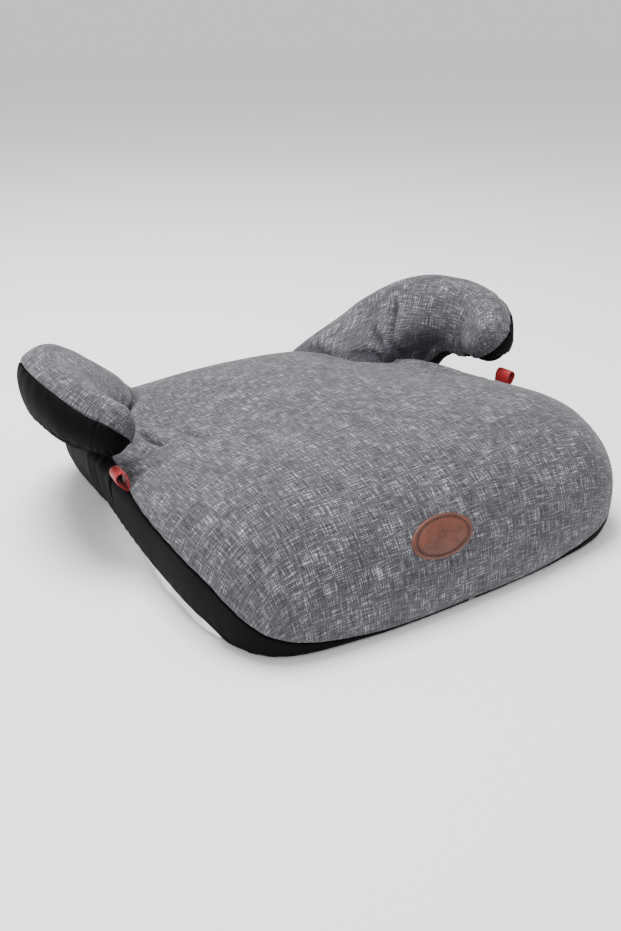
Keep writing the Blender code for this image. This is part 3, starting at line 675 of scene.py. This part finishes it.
def label_print():
    """White film with generic marks: rules, a red ring and a blue bar, placed along the label."""
    s = Shader("label_film", (0.86, 0.86, 0.87), 0.36)
    parts = s.node("SeparateXYZ", [("Vector", s.weave())])
    along, up = parts.outputs[0], parts.outputs[1]

    def box(low_x, high_x, low_y, high_y):
        inside = s.math("GREATER_THAN", along, low_x)
        inside = s.math("MULTIPLY", inside, s.math("LESS_THAN", along, high_x))
        inside = s.math("MULTIPLY", inside, s.math("GREATER_THAN", up, low_y))
        return s.math("MULTIPLY", inside, s.math("LESS_THAN", up, high_y))

    speck = s.noise(s.weave(), (900, 2400, 1), 2, 0.5)
    rules = s.math("GREATER_THAN", s.math("SINE", s.math("MULTIPLY", up, 2 * math.pi / 0.0021)), 0.25)
    rules = s.math("MULTIPLY", rules, s.math("GREATER_THAN", speck, 0.47))
    grey = s.math("MULTIPLY", rules, box(0.018, 0.066, 0.0030, 0.0170))
    blue = s.math("MULTIPLY", rules, box(0.112, 0.150, 0.0040, 0.0150))
    ring_x, ring_y = s.math("SUBTRACT", along, 0.092), s.math("SUBTRACT", up, 0.0105)
    ring = s.node("CombineXYZ", [(0, ring_x), (1, ring_y)])
    away = s.node("VectorMath", [(0, ring.outputs[0])], operation="LENGTH").outputs["Value"]
    red = s.math("LESS_THAN", s.math("ABSOLUTE", s.math("SUBTRACT", away, 0.0062)), 0.0008)
    tint = s.noise(s.weave(), (60, 60, 1), 2, 0.5)
    colour = s.ramp(tint, ((0.3, (0.80, 0.80, 0.82)), (0.7, (0.90, 0.90, 0.91))))
    colour = s.mix(s.math("MULTIPLY", grey, 0.75), colour, (0.06, 0.06, 0.08))
    colour = s.mix(s.math("MULTIPLY", blue, 0.7), colour, (0.05, 0.16, 0.45))
    colour = s.mix(s.math("MULTIPLY", red, 0.85), colour, (0.55, 0.03, 0.05))
    s.paint(colour)
    s.bump(tint, 0.0002, 0.3)
    return s.material


def bead_foam():
    s = Shader("bead_foam", (0.86, 0.86, 0.85), 0.62)
    beads = s.node("TexVoronoi", [("Vector", s.place()), ("Scale", 260.0)])
    edges = s.node("TexVoronoi", [("Vector", s.place()), ("Scale", 260.0)], feature="DISTANCE_TO_EDGE")
    grey = s.node("RGBToBW", [("Color", beads.outputs["Color"])]).outputs[0]
    tone = s.math("ADD", s.math("MULTIPLY", grey, 0.4), 0.3)
    s.paint(s.ramp(tone, ((0.3, (0.82, 0.82, 0.80)), (0.7, (0.90, 0.90, 0.89)))))
    s.bump(s.math("MINIMUM", s.math("MULTIPLY", edges.outputs["Distance"], 6.0), 1.0), 0.0004, 0.6)
    return s.material


GREY = grey_melange()
BLACK = black_cloth()
RED = red_webbing()
LEATHER = brown_leather()
STITCH = thread("brown_thread", (0.020, 0.008, 0.005))
LABEL = label_print()
BEADS = bead_foam()


# --- Cover panels -----------------------------------------------------------------------------
def make_seat():
    """The grey seat panel, from the crown to the seam all round."""
    rows = 176

    def arcs_of(s):
        start, end = per_station(ARCS[:, 0], s), per_station(SEAM, s) - SEAM_GAP
        return start + (end - start) * np.linspace(0.012, 1, rows) ** 0.9

    grid = base_grid(range(COUNT), arcs_of)
    arcs = np.array([arcs_of(s) for s in range(COUNT)]).T
    to_seam = arcs[-1:] - arcs
    runs = np.arange(COUNT) * SPACING
    sides = ramp(np.abs(RING[:, 0]), 0.12, 0.17)
    pucker = 0.00035 * np.sin(runs * 2 * math.pi / 0.017 + 1.3 * np.sin(runs * 31)) * sides
    relief = base_relief(grid[..., :3])
    lift = relief[..., 0] + roll(to_seam)
    lift += pucker[None, :] * bell(to_seam, 0.004, 0.006)
    lift = over_core(grid[..., :3], lift)
    middle = POINTS[0, 0] + np.array([0, 0, float(lift[0].mean())])
    # painted shade: the relief's, and darker along the seam
    shade = relief[..., 1] + 0.5 * np.exp(-to_seam / 0.0016)
    made = shell("seat_cover", grid, lift, GREY, shade, wrap=True, centre=middle)
    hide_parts("cover_seat_top", "seat_pad")


def band_panel(name, start, end, pleats=None):
    """Black cloth from the seam to the hem, between two stations."""
    trim = 0.00015 / SPACING
    stations = [start + trim, *range(math.floor(start) + 1, math.ceil(end)), end - trim]

    def arcs_of(s):
        return np.linspace(per_station(SEAM, s) + SEAM_GAP, per_station(HEM, s), 40)

    grid = base_grid(stations, arcs_of)
    arcs = np.array([arcs_of(s) for s in stations]).T
    lift = base_relief(grid[..., :3])[..., 0] + roll(arcs - arcs[:1])
    runs = np.array(stations) * SPACING
    lift += roll(np.minimum(runs - runs[0], runs[-1] - runs), 0.0012)[None, :]
    drawn = ramp(arcs[-1:] - arcs, 0.016, 0)
    gather = np.sin(runs * 2 * math.pi / 0.013 + 0.9 * np.sin(runs * 47))
    lift += 0.00045 * drawn * gather[None, :]
    if pleats is not None:
        lift += pleats(grid[..., :3])
    lift = over_core(grid[..., :3], lift)
    return shell(name, grid, lift, BLACK)


def neck_pleats(side):
    """Gathers under an armrest, fanned out from its neck down to the side seam."""

    def lift(points):
        y, z = points[..., 1], points[..., 2]
        reach = np.hypot(y - 0.050, z - 0.125)
        turn = np.arctan2(y - 0.050, 0.125 - z)
        fan = np.sin(turn * 21 + 1.6 * np.sin(turn * 7 + side))
        gate = bell(y, 0.050, 0.045) * ramp(z, 0.018, 0.048)
        return 0.0011 * fan * gate * ramp(reach, 0, 0.05)

    return lift


def make_bands():
    """The black cloth below the seam, as five panels."""
    neck, corner = station_at(NECK_SEAM_Y), station_at(REAR_SEAM_Y)
    names = (
        ("side_band_right", 0, neck, "cover_side_right", None),
        ("side_band_left", COUNT - neck, COUNT, "cover_side_left", None),
        ("rear_band", corner, COUNT - corner, "cover_rear", None),
        ("neck_band_right", neck, corner, None, neck_pleats(1)),
        ("neck_band_left", COUNT - corner, COUNT - neck, None, neck_pleats(-1)),
    )
    for name, start, end, node, pleats in names:
        made = band_panel(name, start, end, pleats)
        if node:
            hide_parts(node)


def horn_panel(name, side, first, last, finish, step_in=0.0):
    """Cloth along an armrest between two seam angles. step_in sinks and gathers a lower strip."""
    margin, pitch = 0.25, 2.1
    columns = max(16, int((last - first) / pitch))
    angles = np.radians(np.linspace(first + margin, last - margin, columns))
    grid, row, angle = horn_grid(side, angles)
    edge = np.radians(np.minimum(angle - angle[:, :1], angle[:, -1:] - angle)) * HORN_RADIUS
    angle = angle % 360
    relief = horn_relief(grid[..., :3], row, angle, side)
    if finish is GREY:
        grid[..., :3] = foot_flare(grid[..., :3], row, angle, side)
    grid[..., :3] = fatten(grid[..., :3], row, angle)
    shrink = np.where(row > 5, np.sqrt(np.maximum(1 - (row - 5) ** 2, 0.0004)), 1.0)
    runs = row * ROW_LENGTH
    lift = relief[..., 0] + roll(edge * shrink, 0.0020)
    lift += 0.0004 * np.sin(runs * 2 * math.pi / 0.015 + side) * bell(edge, 0.003, 0.004)
    if step_in:
        front = ramp(row, 1.2, 2.4)
        lift -= step_in * front * ramp(edge, 0, 0.004)
        lift += 0.0010 * np.sin(runs * 2 * math.pi / 0.011) * front * ramp(edge, 0, 0.008)
    lift *= shrink
    lift -= 0.011 * ramp(row, 0.85, 0) * ramp(angle, 135, 95) * (angle < 180)
    low = np.maximum(above_base(grid[..., :3]), 0)
    # painted shade: the relief's, darker where the armrest meets the seat and along the panel's seams
    shade = relief[..., 1] + 0.6 * bell(low, 0, 0.004) + 0.4 * np.exp(-edge / 0.0012)
    return shell(name, grid, lift, finish, shade)


def make_armrests():
    """Each armrest's grey cover, black outer panel and gathered gusset."""
    for side, word in SIDES:
        top = horn_panel(f"armrest_cover_{word}", side, RIDGE_SEAM, 360 + INNER_SEAM, GREY)
        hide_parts(f"cover_armrest_inner_{word}", f"armrest_pad_{word}")
        outer = horn_panel(f"armrest_outer_{word}", side, BELLY_SEAM, RIDGE_SEAM, BLACK)
        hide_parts(f"cover_armrest_outer_{word}")
        gusset = horn_panel(f"armrest_gusset_{word}", side, INNER_SEAM, BELLY_SEAM, BLACK, 0.0030)
        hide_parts(f"cover_armrest_gusset_{word}")


def make_hem():
    """The elastic casing as a soft roll along the cover's free edge."""
    around = 14
    turns = np.linspace(0, 2 * math.pi, around, endpoint=False)
    vertices, weave = [], []
    for s in range(COUNT):
        run = s * SPACING
        gather = 1 + 0.10 * math.sin(run * 2 * math.pi / 0.0065 + math.sin(run * 60))
        centre_arc, half_wide, half_thick = HEM[s] + 0.0043, 0.0037, 0.00120 * gather
        arcs = centre_arc + half_wide * np.cos(turns)
        depth = 0.00130 - half_thick * np.sign(np.sin(turns)) * np.abs(np.sin(turns)) ** 0.8
        data = column(s, arcs)
        vertices.append(data[:, :3] - data[:, 3:6] * depth[:, None])
        weave.append(np.stack([np.full(around, run), turns * 0.0018], 1))
    faces = grid_faces(COUNT, around, True)
    last = (COUNT - 1) * around
    faces += [[last + c, last + (c + 1) % around, (c + 1) % around, c] for c in range(around)]
    made = build("hem_casing", np.concatenate(vertices), faces, BLACK, weave=np.concatenate(weave))
    outward_faces(made)
    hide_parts("hem_binding", "hem_elastic")


# --- Trim -------------------------------------------------------------------------------------
BADGE = (0.029, 0.0155)  # half sizes
BADGE_X, BADGE_Z = -0.029, 0.0620
STITCH_LINE = 0.845  # share of the badge's half sizes
LOOP_Y, LOOP_WIDTH, LOOP_TALL, LOOP_HALF, LOOP_WEB = -0.021, 0.0160, 0.0160, 0.0054, 0.0012
LOOP_LEAN = math.radians(24)


def front_points(x, along, height):
    """Points over the front: x from the middle, then up the profile from the badge's centre."""
    start = arc_at_height(0, BADGE_Z)
    out = []
    for xi, ai, hi in zip(np.ravel(x), np.ravel(along), np.ravel(height)):
        data = column(xi / SPACING, np.array([start - ai]))[0]
        out.append(data[:3] + data[3:6] / np.linalg.norm(data[3:6]) * hi)
    return np.array(out)


def motif(u, v):
    """Generic raised sprig: a centre dot with leaves on each side, 0 to 1, over the unit oval."""
    wide = 1.9  # the oval's width over its height, nearly
    total = np.clip(1 - np.hypot(u * wide, v) / 0.17, 0, 1)
    leaves = ((-0.30, 0.06, 0.5), (0.30, 0.06, -0.5), (-0.52, -0.10, -0.3), (0.52, -0.10, 0.3))
    for centre_u, centre_v, tilt in leaves:
        a = (u - centre_u) * wide * math.cos(tilt) + (v - centre_v) * math.sin(tilt)
        b = -(u - centre_u) * wide * math.sin(tilt) + (v - centre_v) * math.cos(tilt)
        total = np.maximum(total, np.clip(1 - np.hypot(a / 0.26, b / 0.12), 0, 1))
    return np.clip(total * 3.5, 0, 1)


def make_badge():
    """The leather oval with its raised sprig, a pressed ring and a groove for the stitches."""
    shares = [np.linspace(0.02, 0.76, 34), np.linspace(0.775, 0.92, 14), np.linspace(0.93, 1, 8)]
    turns = np.linspace(0, 2 * math.pi, 128, endpoint=False)
    k, t = np.meshgrid(np.concatenate(shares), turns, indexing="ij")
    u, v = k * np.cos(t), k * np.sin(t)
    height = 0.0022 + 0.00045 * motif(u, v)
    height -= 0.00050 * bell(k, STITCH_LINE, 0.022)
    height -= 0.00055 * bell(k, 0.775, 0.012)
    height += 0.00030 * ramp(k, 0.77, 0.74) * (1 - k**2)
    height -= 0.0011 * (1 - np.sqrt(np.maximum(1 - ramp(k, 0.92, 1) ** 2, 0)))
    x, along = BADGE_X + BADGE[0] * u, BADGE[1] * v
    outer = front_points(x, along, height)
    inner = front_points(x, along, 0 * height - 0.0002)
    top, bottom = front_points([BADGE_X] * 2, [0, 0], [0.00285, -0.0002])
    rows, columns = k.shape
    size = rows * columns
    edge = size - columns
    faces = grid_faces(rows, columns, True)
    faces += [[size + i for i in reversed(f)] for f in faces]
    for c in range(columns):
        d = (c + 1) % columns
        faces.append([edge + c, edge + d, size + edge + d, size + edge + c])
        faces.append([2 * size, d, c])
        faces.append([2 * size + 1, size + c, size + d])
    vertices = np.concatenate([outer, inner, [top], [bottom]])
    made = outward_faces(build("badge_leather", vertices, faces, LEATHER))
    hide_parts("badge")


def make_stitches():
    """Single stitches round the badge, each a small rounded bar."""
    count, sides, rings = 58, 8, 5
    up = np.array([0, -0.9, 0.43])  # about square to the front
    vertices, faces = [], []
    for i in range(count):
        middle = 2 * math.pi * i / count
        spread = 0.30 * 2 * math.pi / count
        base = len(vertices)
        angles = middle + np.linspace(-spread, spread, rings)
        x = BADGE_X + BADGE[0] * STITCH_LINE * np.cos(angles)
        along = BADGE[1] * STITCH_LINE * np.sin(angles)
        line = front_points(x, along, np.full(rings, 0.00215))
        for j in range(rings):
            ahead = line[min(j + 1, rings - 1)] - line[max(j - 1, 0)]
            ahead /= np.linalg.norm(ahead)
            side = np.cross(ahead, up)
            side /= np.linalg.norm(side)
            high = np.cross(side, ahead)
            radius = 0.00055 * (0.45, 0.9, 1.0, 0.9, 0.45)[j]
            for a in np.linspace(0, 2 * math.pi, sides, endpoint=False):
                vertices.append(line[j] + radius * (math.cos(a) * side + math.sin(a) * high))
        faces += [[base + q for q in f] for f in grid_faces(rings, sides, True)]
        for end in (base, base + (rings - 1) * sides):
            faces.append([end + q for q in range(sides)])
    made = outward_faces(build("badge_stitches", np.array(vertices), faces, STITCH))
    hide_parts("badge_stitching")


def loop_frame(side):
    """Where a tab leaves the seam, and its directions along the seam, up the tab and outward."""
    s = station_at(LOOP_Y)
    seam = np.array([per_station(SEAM, s)])
    data = column(s, seam)[0]
    root = data[:3] + data[3:6] / np.linalg.norm(data[3:6]) * (LOOP_WEB + 0.0004)
    ahead = column(s + 3, seam)[0] - column(s - 3, seam)[0]
    along = np.array([ahead[0], ahead[1], 0]) / math.hypot(ahead[0], ahead[1])
    out = np.array([along[1], -along[0], 0])
    stand = math.cos(LOOP_LEAN) * np.array([0, 0, 1]) + math.sin(LOOP_LEAN) * out
    mirror = np.array([side, 1, 1])
    return root * mirror, along * mirror, stand * mirror, np.cross(along, stand) * mirror


def make_loops():
    """Red webbing, folded over on itself and sewn in at the seam."""
    steps, across = 72, 15
    for side, word in SIDES:
        root, along, stand, out = loop_frame(side)
        turns = np.linspace(0, 2 * math.pi, steps)
        up = LOOP_TALL * (1 - np.cos(turns)) / 2
        wide = 1.25 * (LOOP_HALF - LOOP_WEB / 2) * np.sin(turns) * np.abs(np.sin(turns / 2)) ** 1.2
        wide += np.where(turns < math.pi, 1, -1) * 0.00075 * np.exp(-up / 0.004)
        up = up - 0.0012
        ahead = np.gradient(np.stack([up, wide], 1), axis=0)
        ahead /= np.linalg.norm(ahead, axis=1)[:, None] + 1e-12
        run = np.concatenate([[0], np.cumsum(np.hypot(np.diff(up), np.diff(wide)))])
        edges = np.linspace(-1, 1, across)
        grids = []
        for lift in (0.5, -0.5):
            thick = LOOP_WEB * lift * (1 - 0.55 * np.abs(edges) ** 8)
            shift_up = -ahead[:, 1, None] * thick
            shift_wide = ahead[:, 0, None] * thick
            skew = 0.0005 * np.sin(np.pi * run / run[-1])[:, None]
            points = (
                root
                + along * (edges[None, :, None] * LOOP_WIDTH / 2 + skew[..., None])
                + stand * (up[:, None] + shift_up)[..., None]
                + out * (wide[:, None] + shift_wide)[..., None]
            )
            grids.append(points)
        size = steps * across
        faces = grid_faces(steps, across, False)
        faces += [[size + i for i in reversed(f)] for f in faces]
        for end in (0, size - across):
            for c in range(end, end + across - 1):
                faces.append([c, c + 1, size + c + 1, size + c])
        for r in range(steps - 1):
            for c in (0, across - 1):
                a, b = r * across + c, (r + 1) * across + c
                faces.append([a, b, size + b, size + a])
        weave = np.stack(np.meshgrid(run, edges * LOOP_WIDTH / 2, indexing="ij"), 2).reshape(-1, 2)
        vertices = np.concatenate([g.reshape(-1, 3) for g in grids])
        both = np.concatenate([weave, weave])
        made = outward_faces(build(f"belt_tab_{word}_webbing", vertices, faces, RED, None, both))
        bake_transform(made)
        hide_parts(f"belt_loop_{word}")


def make_label():
    """The sewn-on film below the raised hem, slightly rippled along its free edge."""
    first, last = COUNT - station_at(0.039), COUNT - station_at(-0.152)
    stations = [first, *range(math.floor(first) + 1, math.ceil(last)), last]
    arcs = np.linspace(-0.0255, -0.0030, 28)
    grid = base_grid(stations, lambda s: arcs)
    runs = (last - np.array(stations)) * SPACING
    free = ramp(arcs, -0.020, -0.008)[:, None]
    lift = -0.0014 + free * (0.0009 + 0.0006 * np.sin(runs * 95)[None, :])
    grid[..., 6] = runs[None, :]
    grid[..., 7] = (arcs[-1] - arcs)[:, None]
    made = shell("side_label_film", grid, lift, LABEL, thick=0.0003)
    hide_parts("side_label")


# --- Studio -----------------------------------------------------------------------------------
def make_camera():
    """The main view: from the left front, above the seat."""
    azimuth, elevation, away = math.radians(-32.98), math.radians(26.12), 0.8205
    target = Vector((-0.0343, -0.03455, 0.053))
    level = math.cos(elevation)
    back = Vector((math.sin(azimuth) * level, -math.cos(azimuth) * level, math.sin(elevation)))
    camera = bpy.data.objects.new("camera", bpy.data.cameras.new("camera"))
    camera.data.lens = 37.55
    camera.location = target + back * away
    camera.rotation_mode = "QUATERNION"
    camera.rotation_quaternion = (-back).to_track_quat("-Z", "Y")
    bpy.context.scene.collection.objects.link(camera)
    bpy.context.scene.camera = camera


def make_light(name, place, target, size, power):
    """A round area light at a place, turned towards its target."""
    light = bpy.data.lights.new(name, "AREA")
    light.shape = "DISK"
    light.size = size
    light.energy = power
    made = bpy.data.objects.new(name, light)
    made.location = place
    made.rotation_mode = "QUATERNION"
    made.rotation_quaternion = (Vector(target) - Vector(place)).to_track_quat("-Z", "Y")
    bpy.context.scene.collection.objects.link(made)


def make_studio():
    """A white floor, an even white world and two soft lights."""
    s = Shader("backdrop", (0.97, 0.97, 0.97), 0.95)
    wide = 6.0
    corners = [(-wide, -wide, 0), (wide, -wide, 0), (wide, wide, 0), (-wide, wide, 0)]
    build("floor", corners, [[0, 1, 2, 3]], s.material, None, smooth=False)
    world = bpy.data.worlds.new("studio")
    world.use_nodes = True
    world.node_tree.nodes["Background"].inputs["Color"].default_value = (1, 1, 1, 1)
    world.node_tree.nodes["Background"].inputs["Strength"].default_value = 0.85
    bpy.context.scene.world = world
    make_light("overhead", (-0.2, 0.3, 1.7), (0, 0, 0.05), 0.9, 52)
    make_light("key", (-1.3, -1.3, 1.4), (0, 0, 0.05), 0.8, 12)


make_seat()
make_bands()
make_armrests()
make_hem()
make_badge()
make_stitches()
make_loops()
make_label()
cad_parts["foam_core"].data.materials.clear()
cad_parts["foam_core"].data.materials.append(BEADS)
make_camera()
make_studio()
